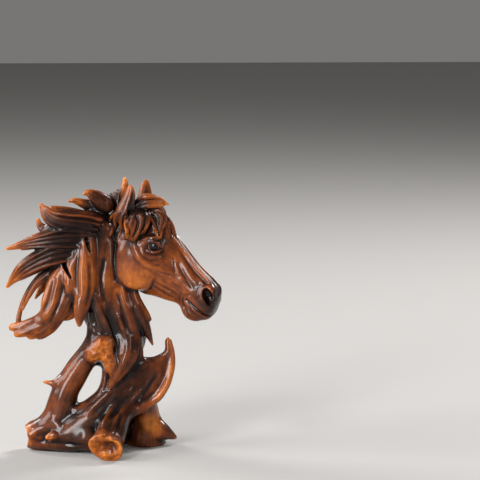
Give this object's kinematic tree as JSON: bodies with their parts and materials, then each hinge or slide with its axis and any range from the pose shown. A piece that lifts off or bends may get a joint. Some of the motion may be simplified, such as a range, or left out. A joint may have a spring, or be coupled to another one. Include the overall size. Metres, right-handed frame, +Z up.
{
  "type": "horse head sculpture",
  "caption": "Tabletop horse head bust with a wind-blown mane, cast in one piece with its base of twisted roots; stands on its flat underside.",
  "frame": {"origin": "middle of the sculpture's length and depth, on the surface that it stands on", "axes": "+Z up; +X the way the horse looks, seen from the side; -Y towards a viewer who sees it face right; the front stump points to -Y"},
  "size_m": [0.2104, 0.126, 0.2699],
  "materials": {
    "glazed_resin": "glossy varnish over a carved-wood look, near black in the hollows and golden brown on raised parts"
  },
  "bodies": {
    "root": {"horse_head": "glazed_resin"}
  },
  "joints": []
}
